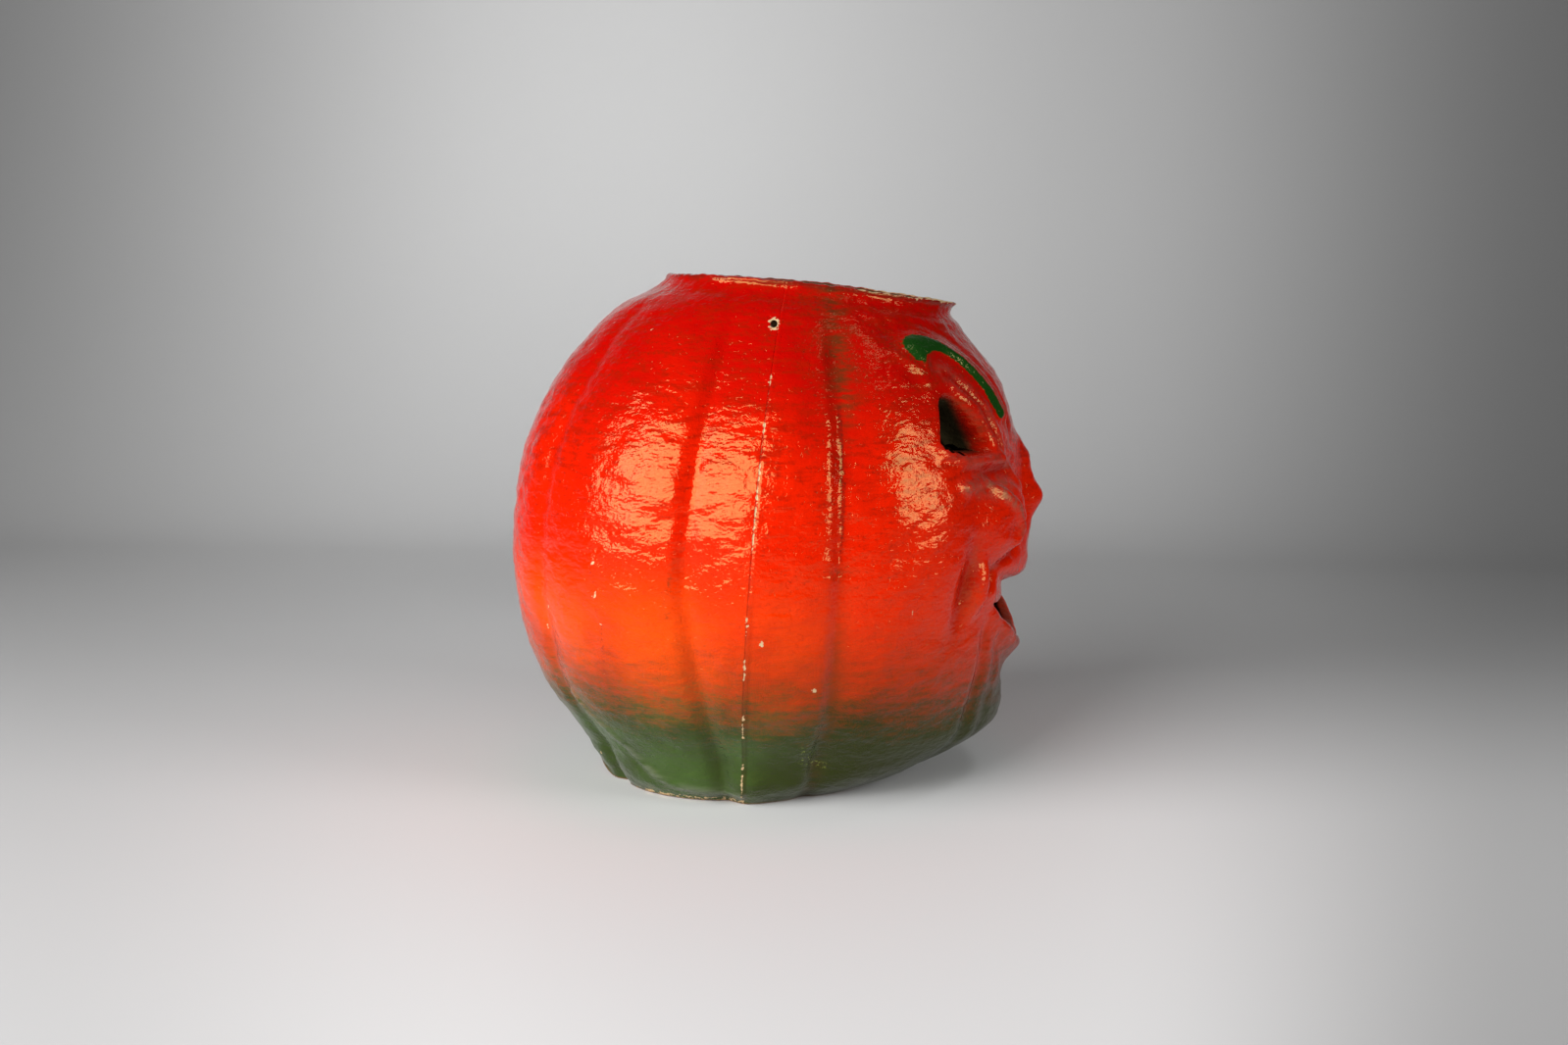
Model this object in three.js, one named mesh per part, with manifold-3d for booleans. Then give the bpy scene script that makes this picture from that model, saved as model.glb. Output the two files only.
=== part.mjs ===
// Pumpkin-face lantern of pressed paper pulp: one closed-bottomed shell with a wide open top,
// two cut eyes, a cut grinning mouth and a small hole at each side for a wire handle.
// Millimetres, +Z up, face towards -Y. The origin is at the middle of the foot, on the ground.
import * as THREE from 'three';
import Module from 'manifold-3d';

// ---------------------------------------------------------------- driving dimensions (mm)
const rimHeight = 171.9;      // height of the rim half way between its front and its back
const rimTilt = 5.0;          // the rim is this much lower in front and higher behind
const rimArch = 2.6;          // and this much higher at the sides
const bodyHeight = 172;       // height that the stations divide
const wall = 2.3;             // pulp thickness
const seamFootY = 9;          // the two pressed halves meet on a plane that leans forward:
const seamLean = -0.081;      // y of the seam = seamFootY + seamLean * z
const footRing = 6;           // width of the ring that the lantern stands on
const panelRise = 1.6;        // the bottom panel sits this far up inside the ring,
const panelStep = 1.5;        // behind a step this wide,
const panelEase = 10;         // and is level from this far inside the ring
const floorCrown = 0.3;       // the inside floor is this much thicker in its middle
const backFootLift = 3.6;     // the two back lobes end above the ground
const bailHole = { y: -2.4, z: 160.4, radius: 1.2, sides: 10 };
const shellColour = 0xdc2a08;

// girth stations: height as a fraction, then front, back and side radius from the seam axis
const stations = [
  [0.00, 46.0, 58.5, 56.0],
  [0.03, 60.0, 60.8, 62.5],
  [0.09, 80.0, 66.8, 67.8],
  [0.20, 85.8, 80.4, 81.5],
  [0.36, 86.2, 91.5, 91.5],
  [0.53, 85.8, 94.7, 95.0],
  [0.70, 82.1, 91.3, 90.5],
  [0.85, 71.8, 77.8, 76.0],
  [0.94, 59.3, 62.6, 62.0],
  [1.00, 54.4, 44.0, 49.6],
];

// grooves between the lobes: degrees from the front, on both sides
const chinGrooves = [[20, 0.9], [28.5, 1.5]];                 // azimuth, depth: below the mouth only
const lobeGrooves = [                                         // azimuth, depth, extra depth at the foot
  [71.8, 1.9, 1.4], [103.6, 2.0, 0.4], [143, 1.6, 2.3], [180, 2.3, 1.6],
];

// nose along its middle line: height, how far it stands out, half width
const nose = [
  [64, 0, 22], [69.6, 0, 28], [71, 1.6, 32], [73.2, 3.3, 33], [76, 4.0, 32], [81.5, 3.7, 24],
  [87, 4.2, 15], [91.5, 5.0, 11], [94.5, 6.4, 9.5], [97, 7.9, 9], [99.4, 8.3, 9], [103, 6.2, 8.5],
  [106.5, 4.7, 8], [114.5, 3.2, 7.5], [118, 2.0, 7], [122, 0.5, 6.5], [127, 0, 6],
];
const noseWing = { reach: 30, rise: 4.4 };        // the nose's underside rises this much by there
const mouth = { half: 40, low: 47.9, cornerRise: 19.3, top: 63.5, topRise: 3.7, bend: 1.6 };

// face lines, each as distance from the middle and height
const browLine = [[57, 148], [50, 153], [42, 153.5], [35.5, 149], [31.5, 142.5], [27.5, 136], [25, 130.5]];
const lidLine = [[50, 144], [46.5, 140], [42, 134], [38, 127], [35.5, 120]];
const eyeRim = [[57.5, 140.5], [50.5, 139], [45.5, 133.5], [41.4, 129], [39, 124.5], [37.5, 116]];
const templeEdge = [[56, 141], [59.5, 136], [62, 131.5], [65, 125], [66, 122.4], [64.4, 120.4], [59.7, 118.4],
  [52, 117.3], [44, 116.9], [36, 116.6]];
const lowerLid = [[66.3, 120.4], [60, 117], [50, 116], [41, 115.8], [34, 113.8], [29.5, 111], [27, 106]];
const cheekCord = [[62, 108], [51.6, 109.5], [46, 106.5], [41.5, 102], [37, 97], [34.5, 92], [37, 87.5]];
const noseCrease = [[22, 89], [27, 84], [35, 81.5], [41, 79.5], [43.5, 76]];
const socketDepth = 13.5;
const eyeHole = [                 // outline of the cut eye, seen from the front
  [57.4, 137], [59.6, 134.6], [61.6, 131], [63.4, 127], [64.9, 123.6], [64.2, 121.7], [61.8, 120.1],
  [58.6, 119], [51, 118.2], [42.5, 118], [43.5, 121.5], [46.5, 126], [50.2, 131], [53.6, 135.6],
];

// mesh fineness, as bands of [from, to, steps]: degrees from the front, then heights
const columnBands = [
  [0, 20, 5], [20, 50, 12], [50, 74, 4], [74, 90, 3], [90, 106, 3], [106, 143, 5], [143, 180, 5],
];
const outerBands = [
  [0, 30, 6], [30, 60, 6], [60, 76, 7], [76, 112, 9], [112, 140, 9], [140, 165, 5], [165, 172, 4],
];
const innerBands = [[4.2, 40, 4], [40, 140, 12], [140, 172, 4]];

// ---------------------------------------------------------------- small helpers
const column = (table, k) => table.map((row) => row[k]);

function ramp(from, to, x) {
  const t = Math.min(Math.max((x - from) / (to - from), 0), 1);
  return t * t * (3 - 2 * t);
}

function bell(distance, width) {
  return Math.exp(-((distance / width) ** 2));
}

function mound(u, z, uMid, zMid, uWidth, zWidth, squareness) {
  const r2 = ((u - uMid) / uWidth) ** 2 + ((z - zMid) / zWidth) ** 2;
  return Math.exp(-(r2 ** squareness));
}

// smooth curve through the points (xs, ys), with slopes taken from both neighbours
function through(xs, ys, x) {
  const last = xs.length - 1;
  const at = Math.min(Math.max(x, xs[0]), xs[last]);
  let i = 0;
  while (i < last - 1 && at >= xs[i + 1]) i += 1;
  const step = (k) => xs[k + 1] - xs[k];
  const rise = (k) => (ys[k + 1] - ys[k]) / step(k);
  const slope = (k) => {
    if (k === 0) return rise(0);
    if (k === last) return rise(last - 1);
    return (rise(k - 1) * step(k) + rise(k) * step(k - 1)) / (step(k - 1) + step(k));
  };
  const h = step(i);
  const t = (at - xs[i]) / h;
  return ys[i] * (1 + 2 * t) * (1 - t) ** 2 + slope(i) * h * t * (1 - t) ** 2
    + ys[i + 1] * t * t * (3 - 2 * t) + slope(i + 1) * h * t * t * (t - 1);
}

// a drawn line made smooth, with four steps between its points
function smoothLine(points) {
  const knots = points.map((_, i) => i);
  const line = [];
  for (let k = 0; k <= (points.length - 1) * 4; k += 1) {
    line.push([through(knots, column(points, 0), k / 4), through(knots, column(points, 1), k / 4)]);
  }
  return line;
}

// distance to a line, how far along it (0 to 1), and on which side
function nearLine(u, z, line) {
  let best = { distance: Infinity, along: 0, side: 0 };
  for (let i = 0; i + 1 < line.length; i += 1) {
    const [a, b] = line[i];
    const [c, d] = line[i + 1];
    const du = c - a;
    const dz = d - b;
    const t = Math.min(Math.max(((u - a) * du + (z - b) * dz) / (du * du + dz * dz), 0), 1);
    const distance = Math.hypot(u - a - t * du, z - b - t * dz);
    if (distance < best.distance) {
      const side = Math.sign(du * (z - b) - dz * (u - a));
      best = { distance, along: (i + t) / (line.length - 1), side };
    }
  }
  return best;
}

const lines = {
  brow: smoothLine(browLine),
  lid: smoothLine(lidLine),
  rim: smoothLine(eyeRim),
  temple: smoothLine(templeEdge),
  lowerLid: smoothLine(lowerLid),
  cheekCord: smoothLine(cheekCord),
};

// ---------------------------------------------------------------- the body
const seamY = (z) => seamFootY + seamLean * z;

function heightAt(h, phi) {
  const rim = rimHeight - rimTilt * Math.cos(phi) + rimArch * Math.sin(phi) ** 2;
  const share = Math.min(Math.max((h - 0.3) / 0.7, 0), 1) ** 1.5;
  const lift = backFootLift * ramp(148, 164, Math.abs(phi) / THREE.MathUtils.DEG2RAD) * ramp(0.12, 0, h);
  return h * (bodyHeight + (rim - bodyHeight) * share) + lift;
}

function girth(h, phi) {
  const hs = column(stations, 0);
  const front = through(hs, column(stations, 1), h);
  const back = through(hs, column(stations, 2), h);
  const side = through(hs, column(stations, 3), h);
  const depth = Math.cos(phi) > 0 ? front : back;
  return 1 / Math.hypot(Math.sin(phi) / side, Math.cos(phi) / depth);
}

function lobeDip(h, phi, radius) {
  const degrees = Math.abs(phi) * THREE.MathUtils.RAD2DEG;
  const atTop = ramp(1, 0.8, h);
  const atFoot = ramp(0.22, 0.02, h);
  const drift = [3 * h - 4 * (1 - h) ** 2, -8 * Math.min(Math.max(1 - h / 0.45, 0), 1), 0, 0];
  let dip = 0;
  for (const [azimuth, depth] of chinGrooves) {
    const away = radius * (degrees - azimuth) * THREE.MathUtils.DEG2RAD;
    dip += depth * ramp(0.4, 0.3, h) * bell(away, 3.5);
  }
  lobeGrooves.forEach(([azimuth, depth, footDepth], k) => {
    const away = radius * (degrees - azimuth - drift[k]) * THREE.MathUtils.DEG2RAD;
    const deep = depth * atTop + footDepth * atFoot + 0.2;
    dip += deep * (0.5 * bell(away, 3.4) + 0.5 * bell(away, 11));
  });
  return dip;
}

// ---------------------------------------------------------------- the face
const mouthLow = (u) => mouth.low + mouth.cornerRise * (u / mouth.half) ** mouth.bend;
const mouthTop = (u) => mouth.top + mouth.topRise * (u / mouth.half) ** 2;

function noseAndLips(u, z) {
  const level = z - noseWing.rise * Math.min(u / noseWing.reach, 1.4) ** 2 * ramp(84, 77, z);
  const width = through(column(nose, 0), column(nose, 2), level);
  let out = through(column(nose, 0), column(nose, 1), level) * Math.exp(-((u / width) ** 2.6));
  out -= 3.8 * ramp(71.6, 69.4, level) * ramp(57, 63.5, z) * Math.exp(-((u / 33) ** 4));
  const below = mouthLow(u) - z;
  out += 3.4 * bell(below - 2.2, 4.5) * Math.exp(-((u / 34) ** 4));
  out -= 1.3 * bell(below - 11, 5) * Math.exp(-((u / 30) ** 4));
  return out;
}

function cheeks(u, z) {
  let out = 5.2 * mound(u, z, 37, 95, 17.5, 13, 1.9);
  out += 2.8 * mound(u, z, 67, 92, 12, 20, 1.3);
  out -= 3.0 * mound(u, z, 58.6, 75, 3.9, 14, 1);
  out += 3.3 * mound(u, z, 52.0, 74, 4.0, 8.5, 1.8);
  out += 1.3 * bell(nearLine(u, z, lines.cheekCord).distance, 2.1);
  out += 1.4 * mound(u, z, 41, 71.5, 5, 3.5, 1);
  out -= 2.4 * bell(nearLine(u, z, noseCrease).distance, 3);
  return out;
}

function browAndEye(u, z) {
  const brow = nearLine(u, z, lines.brow);
  let out = 1.7 * Math.exp(-((brow.distance / 3.4) ** 3));
  if (brow.side < 0) out -= 0.7 * bell(brow.distance - 6.5, 2.2) * ramp(0, 0.15, brow.along);
  const lid = nearLine(u, z, lines.lid);
  out -= 1.1 * bell(lid.distance, 1.8) * ramp(0, 0.2, lid.along);
  const rim = nearLine(u, z, lines.rim);
  if (rim.side > 0) {
    const temple = nearLine(u, z, lines.temple);
    if (temple.side < 0) out -= socketDepth * ramp(0.5, 12, rim.distance) * ramp(0, 3, temple.distance);
  } else {
    out += 0.7 * bell(rim.distance - 1.5, 2);
  }
  out += 1.5 * bell(nearLine(u, z, lines.lowerLid).distance, 2);
  out -= 2.4 * mound(u, z, 42, 110.8, 13, 3, 1);
  return out;
}

function outerRadius(h, phi) {
  const body = girth(h, phi);
  const z = heightAt(h, phi);
  const u = Math.abs(body * Math.sin(phi));
  const inFront = ramp(0.05, 0.35, Math.cos(phi));
  let radius = body - lobeDip(h, phi, body);
  if (inFront > 0) radius += inFront * (noseAndLips(u, z) + cheeks(u, z) + browAndEye(u, z));
  radius += 1.7 * bell(1 - h, 0.011) - 0.8 * bell(1 - h - 0.03, 0.012);
  const fromCorner = Math.abs(phi) * THREE.MathUtils.RAD2DEG - 88;
  return radius + 2.2 * bell(fromCorner, 6) * ramp(0.16, 0, h);
}

// the inner face keeps the pulp thickness from every nearby point of the outer one
function innerRadius(h, phi) {
  let least = Infinity;
  for (const dh of [-0.014, 0, 0.014]) {
    for (const dphi of [-0.03, 0, 0.03]) {
      least = Math.min(least, outerRadius(Math.min(Math.max(h + dh, 0), 1), phi + dphi));
    }
  }
  return least - wall;
}

// ---------------------------------------------------------------- the shell's mesh
function spread(bands) {
  const list = [bands[0][0]];
  for (const [from, to, steps] of bands) {
    for (let k = 1; k <= steps; k += 1) list.push(from + (to - from) * k / steps);
  }
  return list;
}

// columns right round the lantern, from the back over the face's right side to the back again
function azimuths() {
  const oneSide = spread(columnBands).map((degrees) => degrees * THREE.MathUtils.DEG2RAD);
  const otherSide = oneSide.slice(1, -1).reverse().map((phi) => -phi);
  return [...otherSide, ...oneSide];
}

const levels = (bands) => spread(bands).map((z) => z / bodyHeight);

function shellMesh() {
  const phis = azimuths();
  const points = [];
  const triangles = [];

  const ring = (pointAt) => {
    const start = points.length;
    phis.forEach((phi) => points.push(pointAt(phi)));
    return start;
  };
  const polar = (radius, phi, z, axisZ = z) => [
    radius * Math.sin(phi), seamY(axisZ) - radius * Math.cos(phi), z,
  ];
  // joins ring a to ring b; with b above a, seen from outside, the faces point out
  const join = (a, b) => {
    phis.forEach((_, k) => {
      const next = (k + 1) % phis.length;
      triangles.push([a + k, a + next, b + next], [a + k, b + next, b + k]);
    });
  };
  const cap = (a, centre, facingUp) => {
    const middle = points.length;
    points.push(centre);
    phis.forEach((_, k) => {
      const next = (k + 1) % phis.length;
      triangles.push(facingUp ? [a + k, a + next, middle] : [a + next, a + k, middle]);
    });
  };

  const wallRings = (bands, radiusAt) => levels(bands).map(
    (h) => ring((phi) => polar(radiusAt(h, phi), phi, heightAt(h, phi))),
  );

  const outer = wallRings(outerBands, outerRadius);
  const inner = wallRings(innerBands, innerRadius);
  for (let k = 0; k + 1 < outer.length; k += 1) join(outer[k], outer[k + 1]);
  for (let k = 0; k + 1 < inner.length; k += 1) join(inner[k + 1], inner[k]);
  join(outer[outer.length - 1], inner[inner.length - 1]);

  const ringEdge = (phi) => outerRadius(0, phi) - footRing;
  const ringInside = ring((phi) => polar(ringEdge(phi), phi, heightAt(0, phi), 0));
  const panelEdge = ring((phi) => polar(ringEdge(phi) - panelStep, phi, panelRise + heightAt(0, phi), 0));
  const panelInside = ring((phi) => polar(ringEdge(phi) - panelEase, phi, panelRise, 0));
  join(ringInside, outer[0]);
  join(panelEdge, ringInside);
  join(panelInside, panelEdge);
  cap(panelInside, [0, seamFootY, panelRise], false);
  cap(inner[0], [0, seamFootY, panelRise + wall + floorCrown], true);
  return { points, triangles };
}

// ---------------------------------------------------------------- cutting
const wasm = await Module();
wasm.setup();

function toSolid({ points, triangles }) {
  return new wasm.Manifold(new wasm.Mesh({
    numProp: 3,
    vertProperties: Float32Array.from(points.flat()),
    triVerts: Uint32Array.from(triangles.flat()),
  }));
}

// a straight bar whose section is the outline, its corners placed by the two functions
function bar(section, nearEnd, farEnd) {
  const corners = section.map(([a, b]) => new THREE.Vector2(a, b));
  const outline = THREE.ShapeUtils.isClockWise(corners) ? section.toReversed() : section;
  const n = outline.length;
  const points = [...outline.map(nearEnd), ...outline.map(farEnd)];
  const triangles = [];
  for (let k = 0; k < n; k += 1) {
    const next = (k + 1) % n;
    triangles.push([k, next, n + next], [k, n + next, n + k]);
  }
  const flat = THREE.ShapeUtils.triangulateShape(outline.map(([a, b]) => new THREE.Vector2(a, b)), []);
  flat.forEach(([a, b, c]) => triangles.push([c, b, a], [n + a, n + b, n + c]));
  return { points, triangles };
}

function facingOut(mesh) {
  const [a, b, c] = ['a', 'b', 'c'].map(() => new THREE.Vector3());
  let volume = 0;
  mesh.triangles.forEach(([i, j, k]) => {
    a.fromArray(mesh.points[i]);
    b.fromArray(mesh.points[j]);
    c.fromArray(mesh.points[k]);
    volume += a.dot(b.cross(c));
  });
  if (volume > 0) return mesh;
  return { points: mesh.points, triangles: mesh.triangles.map(([i, j, k]) => [i, k, j]) };
}

function frontCut(outline) {
  return toSolid(facingOut(bar(outline, ([x, z]) => [x, -120, z], ([x, z]) => [x, -40, z])));
}

function mouthOutline() {
  const steps = 16;
  const across = Array.from({ length: steps + 1 }, (_, k) => mouth.half * (2 * k / steps - 1));
  const low = across.map((x) => [x, mouthLow(Math.abs(x))]);
  const top = across.slice(1, -1).reverse().map((x) => [x, mouthTop(Math.abs(x))]);
  return [...low, ...top];
}

function bailCut(side) {
  const outline = Array.from({ length: bailHole.sides }, (_, k) => {
    const turn = 2 * Math.PI * k / bailHole.sides;
    return [bailHole.y + bailHole.radius * Math.cos(turn), bailHole.z + bailHole.radius * Math.sin(turn)];
  });
  return toSolid(facingOut(bar(outline, ([y, z]) => [side * 40, y, z], ([y, z]) => [side * 100, y, z])));
}

function toGeometry(solid) {
  const mesh = solid.getMesh();
  const geometry = new THREE.BufferGeometry();
  geometry.setAttribute('position', new THREE.BufferAttribute(mesh.vertProperties, mesh.numProp));
  geometry.setIndex(new THREE.BufferAttribute(mesh.triVerts, 1));
  return geometry;
}

function lanternShell() {
  let solid = toSolid(facingOut(shellMesh()));
  for (const side of [-1, 1]) {
    solid = solid.subtract(frontCut(eyeHole.map(([x, z]) => [side * x, z])));
    solid = solid.subtract(bailCut(side));
  }
  solid = solid.subtract(frontCut(mouthOutline()));
  const geometry = toGeometry(solid);
  geometry.computeBoundingBox();
  const middle = geometry.boundingBox.getCenter(new THREE.Vector3());
  geometry.translate(-middle.x, -middle.y, -geometry.boundingBox.min.z);
  geometry.computeVertexNormals();
  const pulp = new THREE.MeshStandardMaterial({ color: shellColour, roughness: 0.35, metalness: 0 });
  const mesh = new THREE.Mesh(geometry, pulp);
  mesh.name = 'lantern_shell';
  return mesh;
}

const group = new THREE.Group();
group.add(lanternShell());

export default group;
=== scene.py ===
import math

import bpy
import numpy as np
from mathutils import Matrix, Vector


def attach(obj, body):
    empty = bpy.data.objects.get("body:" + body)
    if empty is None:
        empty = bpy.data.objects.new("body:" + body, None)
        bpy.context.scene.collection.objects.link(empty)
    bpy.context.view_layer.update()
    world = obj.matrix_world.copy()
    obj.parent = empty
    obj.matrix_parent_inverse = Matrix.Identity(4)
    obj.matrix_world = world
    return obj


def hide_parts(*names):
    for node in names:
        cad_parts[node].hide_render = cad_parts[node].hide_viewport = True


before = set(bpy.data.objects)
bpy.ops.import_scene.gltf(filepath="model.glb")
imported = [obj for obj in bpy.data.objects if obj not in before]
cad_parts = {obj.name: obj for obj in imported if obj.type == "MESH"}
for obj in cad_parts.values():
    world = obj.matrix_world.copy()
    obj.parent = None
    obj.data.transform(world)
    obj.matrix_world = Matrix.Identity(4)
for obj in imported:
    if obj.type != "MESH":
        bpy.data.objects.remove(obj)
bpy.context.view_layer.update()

print("stage: frame loaded")


# the shell's form, in mm: x across, face towards -y, z up; most numbers are the CAD model's
body = {
    "height": 172.0, "wall": 2.3, "seamFootY": 9.0, "seamLean": -0.081,
    "shiftY": -1.5811,            # the CAD origin is the middle of the box, so y moves by this
    "rimHeight": 171.9, "rimTilt": 5.0, "rimArch": 2.6,
    "rimWear": 0.4, "rimWaves": [[7, 1], [19, 2], [43, 0], [71, 4]],       # waves in a turn, phase
    "rimFlare": [2.4, 0.008], "rimNeck": [1.3, 0.015, 0.03],      # size, width, share below the top
    "backFootLift": 3.6, "footRing": 6.0, "panelRise": 1.6,
    "footCorner": [2.2, 6, 88],                                    # size, width, azimuth
    # height share, then front, back and side radius from the seam axis
    "stations": [
        [0.00, 46.0, 58.5, 56.0], [0.03, 60.0, 60.8, 62.5], [0.09, 80.0, 66.8, 67.8],
        [0.20, 85.8, 80.4, 81.5], [0.36, 86.2, 91.5, 91.5], [0.53, 85.8, 94.7, 95.0],
        [0.70, 82.1, 91.3, 90.5], [0.85, 71.8, 77.8, 76.0], [0.94, 59.3, 62.6, 62.0],
        [1.00, 54.4, 44.0, 49.6]],
    "chinGrooves": [[20, 0.9], [28.5, 1.5]], "chinWidth": 3.5,     # azimuth, depth
    # azimuth, depth, more of it at the foot
    "lobeGrooves": [[71.8, 1.9, 1.4], [103.6, 2.0, 0.4], [143, 1.6, 2.3], [180, 2.3, 1.6]],
    "lobeWidths": [3.4, 11], "lobeLeast": 0.2,
}
face = {
    # height, stand-out and half width of the nose along the middle line
    "nose": [
        [64, 0, 22], [69.6, 0, 28], [71, 1.6, 32], [73.2, 3.3, 33], [76, 4.0, 32], [81.5, 3.7, 24],
        [87, 4.2, 15], [91.5, 5.0, 11], [94.5, 6.4, 9.5], [97, 7.9, 9], [99.4, 8.3, 9],
        [103, 6.2, 8.5], [106.5, 4.7, 8], [114.5, 3.2, 7.5], [118, 2.0, 7], [122, 0.5, 6.5],
        [127, 0, 6]],
    "wingReach": 30, "wingRise": 4.4,       # the nose's underside rises this much by there
    "mouthHalf": 40.0, "mouthLow": 47.9, "mouthCorner": 19.3, "mouthTop": 63.5, "mouthTopRise": 3.7,
    "upperLip": {"hollow": 3.8, "half": 33, "top": [71.6, 69.4], "foot": [57, 63.5]},
    "lowerLip": [[3.4, 4.5, 2.2, 34], [-1.3, 5, 11, 30]],     # size, width, under the mouth, half
    "cheeks": [     # size, middle across and up, half widths, squareness
        [5.2, 37, 95, 17.5, 13, 1.9], [2.8, 67, 92, 12, 20, 1.3], [-3.0, 58.6, 75, 3.9, 14, 1.0],
        [3.3, 52.0, 74, 4.0, 8.5, 1.8], [1.4, 41, 71.5, 5, 3.5, 1.0]],
    # lines across and up, on one side of the face
    "brow": [[57, 148], [50, 153], [42, 153.5], [35.5, 149], [31.5, 142.5], [27.5, 136], [25, 130.5]],
    "lid": [[50, 144], [46.5, 140], [42, 134], [38, 127], [35.5, 120]],
    "socketRim": [
        [57.5, 140.5], [50.5, 139], [45.5, 133.5], [41.4, 129], [39, 124.5], [37.5, 116]],
    "temple": [
        [56, 141], [59.5, 136], [62, 131.5], [65, 125], [66, 122.4], [64.4, 120.4], [59.7, 118.4],
        [52, 117.3], [44, 116.9], [36, 116.6]],
    "lowerLid": [[66.3, 120.4], [60, 117], [50, 116], [41, 115.8], [34, 113.8], [29.5, 111], [27, 106]],
    "cheekCord": [[62, 108], [51.6, 109.5], [46, 106.5], [41.5, 102], [37, 97], [34.5, 92], [37, 87.5]],
    "noseCrease": [[22, 89], [27, 84], [35, 81.5], [41, 79.5], [43.5, 76]],
    # what follows those lines: size, width, distance from the line
    "browRise": [1.7, 3.4], "browHollow": [0.7, 2.2, 6.5], "lidCut": [1.1, 1.8],
    "socketRise": [0.7, 2, 1.5], "lowerLidRise": [1.5, 2], "cordRise": [1.3, 2.1], "creaseCut": [2.4, 3],
    "eyeValley": [2.4, 42, 110.8, 13, 3],                      # depth, middle, half widths
    "eyeHole": [
        [57.4, 137], [59.6, 134.6], [61.6, 131], [63.4, 127], [64.9, 123.6], [64.2, 121.7],
        [61.8, 120.1], [58.6, 119], [51, 118.2], [42.5, 118], [43.5, 121.5], [46.5, 126],
        [50.2, 131], [53.6, 135.6]],
    "socketDepth": 13.5,
}


def ramp(a, b, x):
    # rises smoothly from 0 at a to 1 at b
    t = np.clip((x - a) / (b - a), 0, 1)
    return t * t * (3 - 2 * t)


def bell(distance, width):
    return np.exp(-(distance / width) ** 2)


def swell(distance, size, width, offset=0.0):
    # a rounded rise of this size, so far from a line
    return size * bell(distance - offset, width)


def mound(u, z, uMid, zMid, uWidth, zWidth, squareness=1.0):
    return np.exp(-(((u - uMid) / uWidth) ** 2 + ((z - zMid) / zWidth) ** 2) ** squareness)


def through(xs, ys, x):
    # a smooth curve through the points
    xs, ys = np.asarray(xs, float), np.asarray(ys, float)
    rise, gap = np.diff(ys) / np.diff(xs), np.diff(xs)
    slope = np.empty_like(ys)
    slope[1:-1] = (rise[:-1] * gap[1:] + rise[1:] * gap[:-1]) / (xs[2:] - xs[:-2])
    slope[0], slope[-1] = rise[0], rise[-1]
    x = np.clip(x, xs[0], xs[-1])
    i = np.clip(np.searchsorted(xs, x, side="right") - 1, 0, len(xs) - 2)
    h = xs[i + 1] - xs[i]
    t = (x - xs[i]) / h
    return (ys[i] * (1 + 2 * t) * (1 - t) ** 2 + slope[i] * h * t * (1 - t) ** 2
            + ys[i + 1] * t * t * (3 - 2 * t) + slope[i + 1] * h * t * t * (t - 1))


def smoothLine(points, steps=4):
    p = np.array(points, float)
    knots = np.arange(len(p))
    at = np.linspace(0, len(p) - 1, (len(p) - 1) * steps + 1)
    return np.stack([through(knots, p[:, 0], at), through(knots, p[:, 1], at)], -1)


def nearLine(u, z, line):
    # distance to a line, how far along it from 0 to 1, and on which side
    distance = np.full(np.shape(u), 1e9)
    along = np.zeros(np.shape(u))
    side = np.zeros(np.shape(u))
    count = len(line) - 1
    for i in range(count):
        (a, b), (c, d) = line[i], line[i + 1]
        t = np.clip(((u - a) * (c - a) + (z - b) * (d - b)) / ((c - a) ** 2 + (d - b) ** 2), 0, 1)
        here = np.hypot(u - a - t * (c - a), z - b - t * (d - b))
        closer = here < distance
        distance = np.where(closer, here, distance)
        along = np.where(closer, (i + t) / count, along)
        side = np.where(closer, np.sign((c - a) * (z - b) - (d - b) * (u - a)), side)
    return distance, along, side


lines = {name: smoothLine(face[name])
         for name in ("brow", "lid", "socketRim", "temple", "lowerLid", "cheekCord")}
lines["noseCrease"] = np.array(face["noseCrease"], float)
stations = np.array(body["stations"])


def beside(name, u, z, *shape):
    # a band that follows one of the face's lines
    return swell(nearLine(u, z, lines[name])[0], *shape)


def seamY(z):
    return body["seamFootY"] + body["seamLean"] * z


def fromFront(phi):
    # degrees from the front, 0 to 180 on either side
    return np.abs((np.degrees(phi) + 180) % 360 - 180)


def faceShare(phi):
    return ramp(0.05, 0.35, np.cos(phi))


def heightAt(h, phi):
    # mm at a share of the height: the rim tilts, arches and is worn, and the foot lifts at the back
    rim = body["rimHeight"] - body["rimTilt"] * np.cos(phi) + body["rimArch"] * np.sin(phi) ** 2
    waves = sum(np.sin(count * phi + phase) for count, phase in body["rimWaves"])
    wear = body["rimWear"] * (1 + waves / len(body["rimWaves"])) * ramp(0.95, 1.0, h)
    share = np.clip((h - 0.3) / 0.7, 0, 1) ** 1.5
    lift = body["backFootLift"] * ramp(148, 164, fromFront(phi)) * ramp(0.12, 0, h)
    return h * (body["height"] + (rim - body["height"]) * share) + lift - wear


def girth(h, phi):
    # radius of the plain form, without lobes or face
    front, back, side = (through(stations[:, 0], stations[:, k], h) for k in (1, 2, 3))
    depth = np.where(np.cos(phi) > 0, front, back)
    return 1 / np.hypot(np.sin(phi) / side, np.cos(phi) / depth)


def grooveDrift(h):
    # how far each lobe groove leans with the height, in degrees
    return [3 * h - 4 * (1 - h) ** 2, -8 * np.clip(1 - h / 0.45, 0, 1), 0, 0]


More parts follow.
